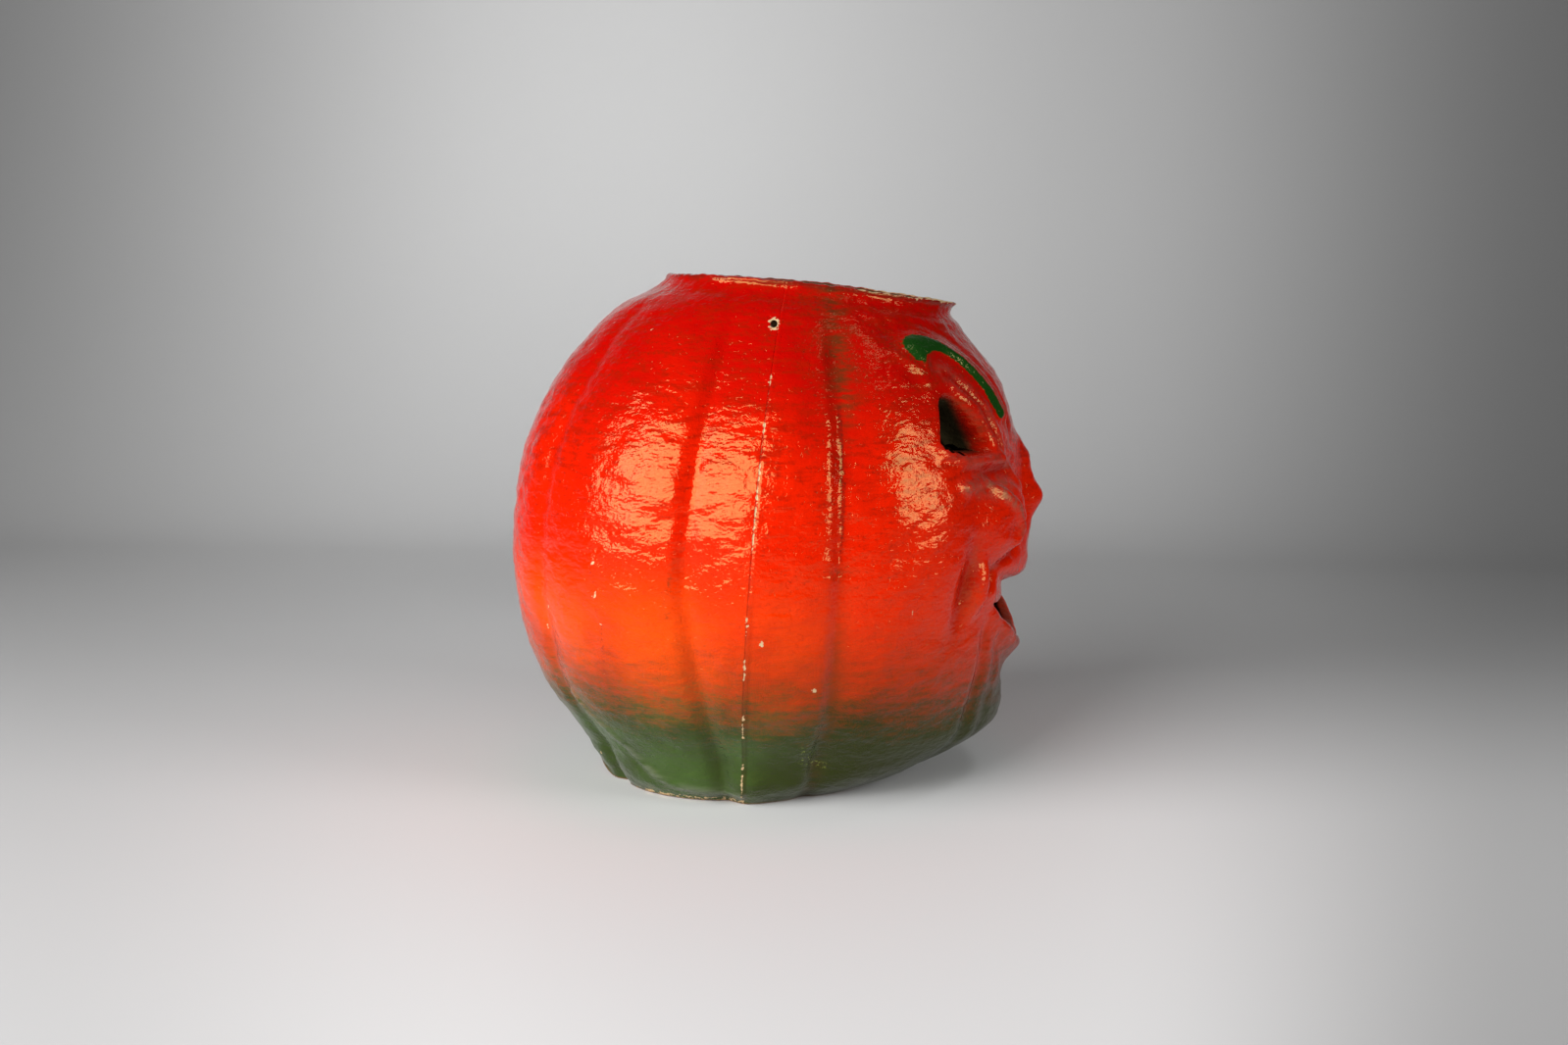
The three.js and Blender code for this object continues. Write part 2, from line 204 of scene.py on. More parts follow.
def lobeDip(h, phi, radius):
    degrees = fromFront(phi)
    belowRim, atFoot = ramp(1, 0.8, h), ramp(0.22, 0.02, h)
    narrow, wide = body["lobeWidths"]
    dip = 0 * radius
    for azimuth, depth in body["chinGrooves"]:
        away = radius * np.radians(degrees - azimuth)
        dip = dip + depth * ramp(0.4, 0.3, h) * bell(away, body["chinWidth"])
    for (azimuth, depth, footDepth), drift in zip(body["lobeGrooves"], grooveDrift(h)):
        away = radius * np.radians(degrees - azimuth - drift)
        deep = depth * belowRim + footDepth * atFoot + body["lobeLeast"]
        dip = dip + deep * (0.5 * bell(away, narrow) + 0.5 * bell(away, wide))
    return dip


def mouthLow(u):
    return face["mouthLow"] + face["mouthCorner"] * (np.abs(u) / face["mouthHalf"]) ** 1.6


def mouthTop(u):
    return face["mouthTop"] + face["mouthTopRise"] * (u / face["mouthHalf"]) ** 2


def noseAndLips(u, z):
    nose = np.array(face["nose"])
    level = z - face["wingRise"] * np.minimum(u / face["wingReach"], 1.4) ** 2 * ramp(84, 77, z)
    width = through(nose[:, 0], nose[:, 2], level)
    out = through(nose[:, 0], nose[:, 1], level) * np.exp(-(u / width) ** 2.6)
    lip = face["upperLip"]
    inLip = ramp(*lip["top"], level) * ramp(*lip["foot"], z)
    out = out - lip["hollow"] * inLip * np.exp(-(u / lip["half"]) ** 4)
    for size, width, under, half in face["lowerLip"]:
        out = out + swell(mouthLow(u) - z, size, width, under) * np.exp(-(u / half) ** 4)
    return out


def cheeks(u, z):
    out = sum(size * mound(u, z, *shape) for size, *shape in face["cheeks"])
    out = out + beside("cheekCord", u, z, *face["cordRise"])
    return out - beside("noseCrease", u, z, *face["creaseCut"])


def eyeShare(u, z):
    # 0 outside the socket to 1 at its bottom
    distance, _, side = nearLine(u, z, lines["socketRim"])
    fromTemple, _, templeSide = nearLine(u, z, lines["temple"])
    depth = ramp(0.5, 12, distance) * ramp(0, 3, fromTemple)
    return np.where((side > 0) & (templeSide < 0), depth, 0)


def browAndEye(u, z):
    distance, along, side = nearLine(u, z, lines["brow"])
    rise, width = face["browRise"]
    out = rise * np.exp(-(distance / width) ** 3)
    out = out - swell(distance, *face["browHollow"]) * (side < 0) * ramp(0, 0.15, along)
    distance, along, _ = nearLine(u, z, lines["lid"])
    out = out - swell(distance, *face["lidCut"]) * ramp(0, 0.2, along)
    distance, _, side = nearLine(u, z, lines["socketRim"])
    out = out - face["socketDepth"] * eyeShare(u, z)
    out = out + swell(distance, *face["socketRise"]) * (side <= 0)
    out = out + beside("lowerLid", u, z, *face["lowerLidRise"])
    depth, *valley = face["eyeValley"]
    return out - depth * mound(u, z, *valley)


def outerRadius(h, phi):
    # the CAD form's radius from the seam axis
    plain, z = girth(h, phi), heightAt(h, phi)
    u = np.abs(plain * np.sin(phi))
    radius = plain - lobeDip(h, phi, plain)
    radius = radius + faceShare(phi) * (noseAndLips(u, z) + cheeks(u, z) + browAndEye(u, z))
    radius = radius + swell(1 - h, *body["rimFlare"]) - swell(1 - h, *body["rimNeck"])
    return radius + swell(fromFront(phi), *body["footCorner"]) * ramp(0.16, 0, h)


def polar(radius, phi, z, axisZ=None):
    # a point from its radius, its turn from the front and its height
    axis = seamY(z if axisZ is None else axisZ)
    return np.stack([radius * np.sin(phi), axis - radius * np.cos(phi) + body["shiftY"],
                     z + 0 * radius], -1)


# the openings, as signed distances in the front view: below 0 is inside an opening
def outlineDistance(x, z, outline):
    closed = np.vstack([outline, outline[:1]])
    distance = nearLine(x, z, closed)[0]
    inside = np.zeros(np.shape(x), bool)
    for (x1, z1), (x2, z2) in zip(closed[:-1], closed[1:]):
        if z1 != z2:
            crosses = (z1 > z) != (z2 > z)
            inside ^= crosses & (x < (x2 - x1) * (z - z1) / (z2 - z1) + x1)
    return np.where(inside, -distance, distance)


def roundedOutline(points, steps=5):
    p = np.array(points, float)
    ring = np.vstack([p[-2:], p, p[:2]])
    knots = np.arange(len(ring)) - 2
    at = np.arange(0, len(p), 1 / steps)
    return np.stack([through(knots, ring[:, 0], at), through(knots, ring[:, 1], at)], -1)


def mouthOutline(steps=60):
    across = np.linspace(-face["mouthHalf"], face["mouthHalf"], steps + 1)
    low = np.stack([across, mouthLow(across)], -1)
    top = np.stack([across, mouthTop(across)], -1)[-2:0:-1]
    return np.vstack([low, top])


eyeOutline = roundedOutline(face["eyeHole"])
mouthEdge = mouthOutline()


def cutDistance(x, z):
    eye = outlineDistance(np.abs(x), z, eyeOutline)
    return np.minimum(eye, outlineDistance(x, z, mouthEdge))


# the two pressed halves, as closed meshes
halves = {
    "front": [[-90, -64, 33], [-64, 64, 206], [64, 90, 33]],            # from, to, columns (degrees)
    "back": [[90, 96, 20], [96, 264, 214], [264, 270, 20]],
    "rows": [[0.9, 6, 7], [6, 156, 130], [156, 164, 20], [164, 171.6, 13]],   # mm
    "inset": 0.4,                  # room for the relief inside the CAD form
    "innerFrom": 6.0, "floor": 4.2, "footEdge": 0.7,
    "loops": 4, "cutBulge": 0.5, "bailBulge": 0.15, "rimBulge": 0.4,
    "cutReach": 0.66, "bailReach": 0.26,              # grid points this near a cut move onto it
    "backProud": 0.75, "backLeast": 0.12, "seamNick": 0.22,
    # sharper part of the lobe grooves: azimuth, depth, width of the steep side, from and to this height
    "creases": [[71.8, 1.4, 5.0, 20, 150], [102.8, 1.6, 6.0, 20, 150], [143, 0.5, 6, 20, 160]],
    "browLine": [
        [54.6, 149.6], [52.6, 152.4], [47.6, 154.1], [43, 152.8], [39.8, 150], [37.4, 146.2],
        [35.6, 142.2], [33.6, 138.2], [31.4, 133.8], [29.6, 130.2]],
    "browWidths": [      # share of the line, half width
        [0, 1.5], [0.12, 2.5], [0.26, 2.6], [0.42, 2.0], [0.6, 1.9], [0.75, 1.9], [0.9, 2.4], [1, 2.1]],
    "browLift": 0.55, "browHollow": [0.6, 1.3, 1.6],           # size, width, distance from the line
    "cordRise": [0.9, 1.9], "cordHollow": [0.9, 1.8, 3.2], "lidCut": [0.9, 1.1], "lidRise": [0.5, 1.3, 2],
    # the crease over the back foot: azimuth, height
    "footCrease": [[141, 36], [133, 26], [126, 18], [117, 8.5], [105, 5.2], [90, 4.2]],
    "creaseRise": [0.5, 1.1], "creaseHollow": [0.3, 1.6, 2.6],
}
bailHole = {"y": -2.4, "z": 160.4, "radius": 1.25}
browPaint, browWidths = smoothLine(halves["browLine"]), np.array(halves["browWidths"])
footCrease = smoothLine(halves["footCrease"])
outside, inside, cutEdge, rimEdge, foot = range(5)           # what a point of the shell belongs to


def spread(bands):
    # places from one end of the bands to the other, with each band's own steps
    out = [bands[0][0]]
    for low, high, steps in bands:
        out += [low + (high - low) * k / steps for k in range(1, steps + 1)]
    return np.array(out, float)


def seamArc(radius, phi):
    # distance along the wall from the nearer seam, below 0 on the front half
    return radius * np.radians(fromFront(phi) - 90)


def creaseDistance(phi, z):
    scale = math.radians(70)        # mm of wall in a degree
    return nearLine(fromFront(phi) * scale, z, footCrease * [scale, 1])[0]


def creases(h, phi, z, radius):
    # each groove's side towards the back drops steeply, the other side rises slowly
    degrees = fromFront(phi)
    dip = 0 * radius
    for (azimuth, depth, width, low, high), drift in zip(halves["creases"], grooveDrift(h)):
        away = radius * np.radians(degrees - azimuth - drift)
        shape = np.where(away > 0, ramp(width, 0, away), bell(away, 2.2 * width))
        dip = dip + depth * shape * ramp(low - 25, low, z) * ramp(high + 15, high, z)
    return dip


def foldLift(u, z):
    # the painted brow's raised edge, and sharper cheek and lid folds
    brow, along, side = nearLine(u, z, browPaint)
    edge = brow - through(*browWidths.T, along)
    lift = halves["browLift"] * ramp(1.2, -1.2, edge) - swell(edge, *halves["browHollow"]) * (side < 0)
    cord, along, side = nearLine(u, z, lines["cheekCord"])
    lift = lift + swell(cord, *halves["cordRise"])
    lift = lift - swell(cord, *halves["cordHollow"]) * (side < 0) * ramp(0.15, 0.3, along)
    lid, along, side = nearLine(u, z, lines["lid"])
    lift = lift - swell(lid, *halves["lidCut"]) * ramp(0, 0.2, along)
    return lift + swell(lid, *halves["lidRise"]) * (side < 0)


def dressedRadius(h, phi):
    # the CAD form, with the step where the halves meet, the folds and the crease over the foot
    radius, z = outerRadius(h, phi), heightAt(h, phi)
    radius = radius - creases(h, phi, z, radius)
    arc = seamArc(radius, phi)
    onBack = np.cos(phi) < 1e-6
    proud = halves["backLeast"] + halves["backProud"] * ramp(88, 62, z) * ramp(0, 5, z)
    radius = radius + np.where(onBack, proud * np.exp(-np.abs(arc) / 4.5), 0)
    radius = radius - np.where(onBack, 0, halves["seamNick"] * np.exp(-np.abs(arc) / 0.6))
    radius = radius + faceShare(phi) * foldLift(np.abs(radius * np.sin(phi)), z)
    crease = creaseDistance(phi, z)
    radius = radius - halves["inset"] + swell(crease, *halves["creaseRise"])
    return radius - swell(crease, *halves["creaseHollow"])


def erode(radius, rows, columns):
    # the least value within so many rows and columns
    least = radius.copy()
    for i in range(-rows, rows + 1):
        shifted = radius[np.clip(np.arange(len(radius)) + i, 0, len(radius) - 1)]
        for j in range(-columns, columns + 1):
            k = np.clip(np.arange(radius.shape[1]) + j, 0, radius.shape[1] - 1)
            least = np.minimum(least, shifted[:, k])
    return least


def soften(values, times):
    for _ in range(times):
        padded = np.pad(values, 1, mode="edge")
        values = (padded[:-2, 1:-1] + padded[2:, 1:-1] + padded[1:-1, :-2] + padded[1:-1, 2:]
                  + 4 * padded[1:-1, 1:-1]) / 8
    return values


def bailDistance(y, z):
    return np.hypot(y - bailHole["y"], z - bailHole["z"]) - bailHole["radius"]


cuts = {   # how each half's openings are measured: position across, distance, reach, where
    "front": {
        "across": lambda h, phi: outerRadius(h, phi) * np.sin(phi), "axis": 0, "shift": 0,
        "distance": cutDistance, "reach": halves["cutReach"], "bulge": halves["cutBulge"],
        "near": lambda phi, z: (np.cos(phi) > 0.55) & (z > 40) & (z < 140)},
    "back": {
        "across": lambda h, phi: seamY(heightAt(h, phi)) - outerRadius(h, phi) * np.cos(phi),
        "axis": 1, "shift": body["shiftY"],
        "distance": bailDistance, "reach": halves["bailReach"], "bulge": halves["bailBulge"],
        "near": lambda phi, z: (np.abs(z - bailHole["z"]) < 5) & (fromFront(phi) < 95)},
}


def slopeOf(distanceOf, a, z, step=0.05):
    # the direction in which a distance grows, as a unit vector
    da = (distanceOf(a + step, z) - distanceOf(a - step, z)) / (2 * step)
    dz = (distanceOf(a, z + step) - distanceOf(a, z - step)) / (2 * step)
    size = np.maximum(np.hypot(da, dz), 1e-6)
    return da / size, dz / size


def pullToEdge(H, P, cut):
    # moves grid points close to a cut onto its edge; returns 0 clear, 1 on the edge, 2 in the opening
    near = cut["near"](P, heightAt(H, P))
    status = np.zeros(H.shape, int)
    d = cut["distance"](cut["across"](H[near], P[near]), heightAt(H[near], P[near]))
    status[near] = np.where(np.abs(d) < cut["reach"], 1, np.where(d < 0, 2, 0))
    on = status == 1
    h, p = H[on], P[on]
    startH, startP = h.copy(), p.copy()
    for _ in range(8):
        a, z = cut["across"](h, p), heightAt(h, p)
        d = cut["distance"](a, z)
        da, dz = slopeOf(cut["distance"], a, z)
        turned = (cut["across"](h, p + 1e-3) - cut["across"](h, p - 1e-3)) / 2e-3
        turned = np.where(np.abs(turned) < 30, np.where(turned < 0, -30, 30), turned)
        p = p - 0.8 * d * da / turned
        h = h - 0.8 * d * dz / body["height"]
    # a point that can't reach the edge goes back to its place in the grid
    left = cut["distance"](cut["across"](h, p), heightAt(h, p))
    moved = np.hypot((h - startH) * body["height"], (p - startP) * 90)
    lost = (np.abs(left) > 0.25) | (moved > 1.5)
    before = cut["distance"](cut["across"](startH, startP), heightAt(startH, startP))
    H[on], P[on] = np.where(lost, startH, h), np.where(lost, startP, p)
    status[on] = np.where(lost, np.where(before > 0, 0, 2), 1)
    return status


class Shell:
    # points, faces and what each point belongs to
    def __init__(self):
        self.points, self.kinds, self.places, self.faces, self.count = [], [], [], [], 0

    def add(self, points, kind, h, phi):
        points = np.asarray(points, float).reshape(-1, 3)
        self.points.append(points)
        self.kinds.append(np.full(len(points), kind))
        self.places.append(np.stack([h + np.zeros(len(points)), phi + np.zeros(len(points))], -1))
        self.count += len(points)
        return np.arange(self.count - len(points), self.count)

    def strip(self, a, b):
        # faces between two rings of points; b lies to the left of a's direction
        for k in range(len(a) - 1):
            self.faces.append((a[k], a[k + 1], b[k + 1], b[k]))

    def fan(self, a, middle):
        for k in range(len(a) - 1):
            self.faces.append((a[k], a[k + 1], middle))

    def ladder(self, a, b, direction):
        # fills between two paths, with the faces looking along direction
        xyz = np.vstack(self.points)
        lengths = [np.concatenate([[0], np.cumsum(np.linalg.norm(np.diff(xyz[p], axis=0), axis=1))])
                   for p in (a, b)]
        sa, sb = lengths[0] / lengths[0][-1], lengths[1] / lengths[1][-1]
        i = j = 0
        while i < len(a) - 1 or j < len(b) - 1:
            stepA = j == len(b) - 1 or (i < len(a) - 1 and sa[i + 1] <= sb[j + 1])
            tri = [a[i], a[i + 1], b[j]] if stepA else [a[i], b[j + 1], b[j]]
            normal = np.cross(xyz[tri[1]] - xyz[tri[0]], xyz[tri[2]] - xyz[tri[0]])
            self.faces.append(tuple(tri if normal @ direction > 0 else tri[::-1]))
            i, j = (i + 1, j) if stepA else (i, j + 1)


def wallCells(status, grid, middleDistance):
    # the wall's cells, without the openings; a cell cut corner to corner keeps one triangle
    corners = np.stack([grid[:-1, :-1], grid[:-1, 1:], grid[1:, 1:], grid[1:, :-1]], -1).reshape(-1, 4)
    states = status.ravel()[corners]
    keep = (states != 2).all(1)
    allOn = np.where((states == 1).all(1))[0]
    keep[allOn] = middleDistance(corners[allOn]) > 0
    cells = [tuple(int(v) for v in f) for f in corners[keep]]
    split = (states == 2).any(1) & (states == 0).any(1)
    for quad, state in zip(corners[split], states[split]):
        for k in range(4):
            if state[k] == 0 and state[(k + 1) % 4] == 1 and state[k - 1] == 1:
                cells.append((int(quad[k - 1]), int(quad[k]), int(quad[(k + 1) % 4])))
    return cells


def cutBorder(cells, status):
    edges = set()
    for f in cells:
        edges.update(zip(f, f[1:] + f[:1]))
    flat = status.ravel()
    return [(a, b) for a, b in edges if (b, a) not in edges and flat[a] == 1 and flat[b] == 1]


def edgeSteps():
    # where the loops of a rounded edge lie across the wall, and how far each one swells
    shares = [k / (halves["loops"] + 1) for k in range(1, halves["loops"] + 1)]
    return [(t, math.sin(math.pi * t) ** 0.6) for t in shares]


def roundCut(shell, border, cut, outerXYZ, innerXYZ, h, phi):
    # loops round a cut, from the outside to the inside
    used = np.array(sorted({v for edge in border for v in edge}))
    outerP, innerP = outerXYZ[used], innerXYZ[used]
    da, dz = slopeOf(cut["distance"], outerP[:, cut["axis"]] - cut["shift"], outerP[:, 2])
    into = np.zeros((len(used), 3))
    into[:, cut["axis"]], into[:, 2] = -da, -dz
    loops = [dict(zip(used, used))]
    for t, out in edgeSteps():
        ring = outerP + (innerP - outerP) * t + into * cut["bulge"] * out
        loops.append(dict(zip(used, shell.add(ring, cutEdge, h[used], phi[used]))))
    loops.append(dict(zip(used, used + len(outerXYZ))))
    for a, b in border:
        for near, far in zip(loops[:-1], loops[1:]):
            shell.faces.append((near[b], near[a], far[a], far[b]))


def roundRim(shell, outerXYZ, innerXYZ, first, last, h, phi):
    # over the top, from the outside to the inside
    rim = [first]
    for t, up in edgeSteps():
        ring = outerXYZ + (innerXYZ - outerXYZ) * t
        ring[:, 2] += halves["rimBulge"] * up
        rim.append(shell.add(ring, rimEdge, h, phi))
    rim.append(last)
    for a, b in zip(rim[:-1], rim[1:]):
        shell.strip(a, b)
    return rim


def closeFoot(shell, first, phi):
    # the foot ring and the raised panel inside it
    edge, lift, ring = outerRadius(0 * phi, phi), heightAt(0 * phi, phi), body["footRing"]
    profile = [(0.1, 0.3), (-halves["footEdge"], 0), (-2.5, 0), (-4.5, 0), (-ring, 0.15),
               (-ring - 1.5, body["panelRise"])]              # out from the wall, up
    under = [first]
    for out, rise in profile:
        under.append(shell.add(polar(edge + out, phi, rise + lift, 0), foot, 0, phi))
    for share in (1.0, 0.8, 0.6, 0.4, 0.2):
        panel = polar((edge - ring - 10) * share, phi, body["panelRise"] + 0 * phi, 0)
        under.append(shell.add(panel, foot, 0, phi))
    for a, b in zip(under[:-1], under[1:]):
        shell.strip(b, a)
    return under


def layFloor(shell, first, radius, phi):
    # inside, from the wall down to the floor
    over, reach = [first], 4.5
    for back, z in ((0.8, 5.1), (2.2, 4.5), (reach, halves["floor"])):
        over.append(shell.add(polar(radius - back, phi, z + 0 * phi, 0), inside, 0, phi))
    for share in (0.8, 0.6, 0.4, 0.2):
        floor = polar((radius - reach) * share, phi, halves["floor"] + 0 * phi, 0)
        over.append(shell.add(floor, inside, 0, phi))
    for a, b in zip(over[:-1], over[1:]):
        shell.strip(a, b)
    return over


def buildHalf(name):
    cut = cuts[name]
    phi, h = np.radians(spread(halves[name])), spread(halves["rows"]) / body["height"]
    H, P = np.meshgrid(h, phi, indexing="ij")
    solidR, plainR = dressedRadius(H, P), girth(H, P)
    status = pullToEdge(H, P, cut)
    # the wall follows what is left round an opening, not the form that was there before it
    innerR = soften(erode(np.where(status == 2, plainR, solidR), 2, 3), 6) - body["wall"]
    outerR = dressedRadius(H, P)
    innerR = np.where(status == 1, np.minimum(outerR - body["wall"], innerR), innerR)
    outerXYZ, innerXYZ = polar(outerR, P, heightAt(H, P)), polar(innerR, P, heightAt(H, P))
    flatOuter, flatInner = outerXYZ.reshape(-1, 3), innerXYZ.reshape(-1, 3)

    shell = Shell()
    grid = shell.add(outerXYZ, outside, H.ravel(), P.ravel()).reshape(H.shape)
    innerGrid = shell.add(innerXYZ, inside, H.ravel(), P.ravel()).reshape(H.shape)

    def middleDistance(corners):
        middle = flatOuter[corners].mean(1)
        return cut["distance"](middle[:, cut["axis"]] - cut["shift"], middle[:, 2])

    cells = wallCells(status, grid, middleDistance)
    firstInner = int(np.searchsorted(h * body["height"], halves["innerFrom"]))
    lowest = grid[firstInner, 0]
    shell.faces += cells
    shell.faces += [tuple(v + H.size for v in reversed(f)) for f in cells if min(f) >= lowest]
    roundCut(shell, cutBorder(cells, status), cut, flatOuter, flatInner, H.ravel(), P.ravel())
    rim = roundRim(shell, outerXYZ[-1], innerXYZ[-1], grid[-1], innerGrid[-1], H[-1], P[-1])
    under = closeFoot(shell, grid[0], phi)
    over = layFloor(shell, innerGrid[firstInner], innerR[firstInner], phi)
    zero = np.zeros(1)
    centreLow = shell.add(polar(zero, zero, zero + body["panelRise"], 0), foot, 0, 0)[0]
    centreHigh = shell.add(polar(zero, zero, zero + halves["floor"], 0), inside, 0, 0)[0]
    shell.fan(under[-1][::-1], centreLow)
    shell.fan(over[-1], centreHigh)

    # flat faces where the halves are glued together
    facing = np.array([0, 1.0 if name == "front" else -1.0, 0])
    for j in (0, -1):
        outerPath = [r[j] for r in rim[-2:0:-1]] + list(grid[::-1, j]) + [r[j] for r in under[1:]]
        innerPath = list(innerGrid[:firstInner - 1:-1, j]) + [r[j] for r in over[1:]]
        shell.ladder(outerPath + [centreLow], innerPath + [centreHigh], facing)
    h, phi = np.vstack(shell.places).T
    return np.vstack(shell.points), shell.faces, np.concatenate(shell.kinds), h, phi


# what the paint, dirt and wear follow, one number for each point
marks = {
    # heights along the seam, from and to
    "seamChips": [[139, 145], [127, 130], [92, 118], [66, 71], [50, 57], [28, 36], [15, 18], [0, 13]],
    "chips": [     # degrees from the front, height, radius
        [123.5, 84.7, 1.1], [122.8, 74.8, 1.5], [121.6, 64.5, 1.0], [122.2, 48, 0.9], [120.8, 96, 0.9],
        [141.2, 66, 1.2], [143.6, 58.5, 1.1], [75.2, 45.5, 1.4], [149.5, 9.8, 1.5], [87, 62, 1.0],
        [118.8, 155, 0.8], [128, 158, 0.8], [62, 112, 0.7], [56, 70, 0.7]],
    "crack": [[124.5, 90], [123.6, 84], [122.8, 74], [121.9, 62], [122.3, 47]],
    "greenNicks": [[74.6, 22.4], [71.3, 20.0], [73.6, 18.2], [69.5, 16.4], [66.4, 14.6]],
    "smudges": [     # degrees from the front, height, their half widths, share
        [81, 122, 0.9, 0.9, 1.0], [106.4, 70, 0.9, 0.9, 0.9], [106.2, 79, 0.5, 8, 0.7],
        [73, 84, 4, 2, 0.5], [74, 150, 6, 7, 0.45], [79, 165, 7, 4, 0.35], [52, 150, 7, 7, 0.5]],
    # share, middle across and up, half widths
    # dust: grey on the face's ridges, partly dust and partly painted sheen of the grey surroundings
    "dustAndSheen": [[1.0, 45, 106.5, 12, 3], [0.5, 55, 78, 2.2, 12]],
    # shade: painted shade in the face's hollows
    "shade": [[0.85, 58.9, 75, 3.0, 13], [0.6, 46, 76, 2.2, 7], [0.8, 40, 112.0, 12, 2.2]],
}


def faceMarks(u, z):
    distance, along, side = nearLine(u, z, browPaint)
    brow = ramp(1.2, -1.2, distance - through(*browWidths.T, along))
    # grey on the cheek cord, the lids, the cheek flank, the mouth fold and above the brow: dust and
    # painted sheen
    cord = beside("cheekCord", u, z, 1.0, 2.2) * ramp(84, 96, z)
    flank = sum(share * mound(u, z, *shape) for share, *shape in marks["dustAndSheen"])
    lids = beside("lid", u, z, 0.5, 1.6, 2) + beside("lowerLid", u, z, 0.5, 1.6)
    band = swell(distance, 0.8, 2, 5) * (side < 0) * ramp(0.3, 0.5, along)
    # painted shade in the face's hollows: beside the mouth fold, by the mouth corner, under the eye, in
    # the nose crease and along the lid
    shade = sum(share * mound(u, z, *shape) for share, *shape in marks["shade"])
    shade = shade + beside("noseCrease", u, z, 0.8, 2.2) + beside("lid", u, z, 0.5, 1.4)
    # socket: where the eye socket's wall gets its painted shade
    return {"brow": brow, "dustAndSheen": np.clip(cord + flank + lids + band, 0, 1),
            "shade": np.clip(shade, 0, 1), "socket": eyeShare(u, z)}


def wallMarks(radius, degrees, h, phi, z):
    arc = seamArc(radius, phi)
    away = radius * np.radians(degrees - body["lobeGrooves"][0][0] - grooveDrift(h)[0])
    # olive dirt high in the first groove; lower down, the groove is darkened as painted shade
    groove = bell(away + 1.5, 4.5) * ramp(118, 142, z) + 0.6 * bell(away, 3) * ramp(76, 60, z)
    smudge = 0 * z
    for azimuth, height, wide, tall, share in marks["smudges"]:
        middle = girth(height / body["height"], np.radians(azimuth)) * math.radians(azimuth)
        smudge = smudge + share * mound(radius * np.radians(degrees), z, middle, height, wide, tall)
    values = {
        "groove": groove, "smudge": smudge, "creaseHighlight": bell(creaseDistance(phi, z), 1.6),
        "grooveLine": bell(away, 1.6) * ramp(70, 100, z) * ramp(150, 130, z),
        "seamLine": bell(arc + 0.4, 0.5) * ramp(150, 130, z) + 0.8 * ramp(0.985, 0.997, h)}
    for name, line, width, wallRadius in (("crack", "crack", 0.7, 85), ("nick", "greenNicks", 0.9, 62)):
        scale = math.radians(wallRadius)        # mm of wall in a degree
        values[name] = bell(nearLine(degrees * scale, z, np.array(marks[line]) * [scale, 1])[0], width)
    return values


def bareShare(kinds, radius, degrees, h, phi, z):
    # 1 where the paint is gone: along the seam, in chips, round the bail hole, on the rim and the foot
    onSeam = 0 * z
    for low, high in marks["seamChips"]:
        onSeam = np.maximum(onSeam, ramp(low - 2, low, z) * ramp(high + 2, high, z))
    bare = onSeam * bell(seamArc(radius, phi), 0.55) * 0.85
    for azimuth, height, size in marks["chips"]:
        away = np.hypot(radius * np.radians(degrees - azimuth), z - height)
        bare = np.maximum(bare, 0.95 * bell(away, size))
    bail = np.hypot(seamY(z) - radius * np.cos(phi) - bailHole["y"], z - bailHole["z"])
    besideBail = (z > 140) * (degrees > 80) * (degrees < 100)
    bare = np.maximum(bare, 0.78 * ramp(3.0, 1.8, bail) * besideBail)
    onRim = (kinds == rimEdge) * (0.45 + 0.6 * ramp(70, 55, degrees) * ramp(4, 12, degrees))
    bare = np.maximum(bare, onRim)
    underRim = ramp(0.992, 0.998, h) * ramp(80, 58, degrees) * (kinds == outside)
    bare = np.maximum(bare, 0.66 * underRim)
    underFoot = ramp(3.2, 1.2, z) * ramp(84, 90, degrees) * ramp(140, 128, degrees)
    return np.maximum(bare, 0.75 * underFoot * (kinds != inside))


def markValues(kinds, h, phi):
    z, radius, degrees = heightAt(h, phi), girth(h, phi), fromFront(phi)
    onFace = (np.cos(phi) > 0.2) & (kinds != inside)
    faceValues = faceMarks(np.abs(radius * np.sin(phi)), z)
    wallValues = wallMarks(radius, degrees, h, phi, z)
    values = {name: share * onFace for name, share in faceValues.items()}
    values.update({name: share * (kinds == outside) for name, share in wallValues.items()})
    values["bare"] = bareShare(kinds, radius, degrees, h, phi, z)
    values["inner"] = np.where(kinds == inside, 1.0, np.where(kinds == cutEdge, 0.5, 0.0))
    values["under"] = (kinds == foot) * 1.0
    values["reliefShare"] = ramp(0.5, 3, z) * ramp(0.999, 0.985, h) * np.where(kinds == foot, 0, 1)
    return values


def putAttributes(mesh, values, h, phi):
    for name, numbers in values.items():
        layer = mesh.attributes.new(name, "FLOAT", "POINT")
        layer.data.foreach_set("value", np.asarray(numbers, np.float32))
    outward = np.stack([np.sin(phi), -np.cos(phi), 0 * phi], -1)
    wrap = np.stack([phi * 0.085, 0 * phi, heightAt(h, phi) / 1000], -1)      # m round and up the wall
    for name, vectors in (("outward", outward), ("wrap", wrap)):
        layer = mesh.attributes.new(name, "FLOAT_VECTOR", "POINT")
        layer.data.foreach_set("vector", vectors.astype(np.float32).ravel())


# node helpers
def put(tree, kind, values=None, **settings):
    node = tree.nodes.new(kind)
    for key, value in settings.items():
        setattr(node, key, value)
    for key, value in (values or {}).items():
        if isinstance(value, bpy.types.NodeSocket):
            tree.links.new(value, node.inputs[key])
        else:
            node.inputs[key].default_value = value
    return node


def calc(tree, operation, *values):
    return put(tree, "ShaderNodeMath", dict(enumerate(values)), operation=operation).outputs[0]


def smoothStep(tree, value, low, high, outLow=0.0, outHigh=1.0):
    return put(tree, "ShaderNodeMapRange", {0: value, 1: low, 2: high, 3: outLow, 4: outHigh},
               interpolation_type="SMOOTHSTEP").outputs[0]


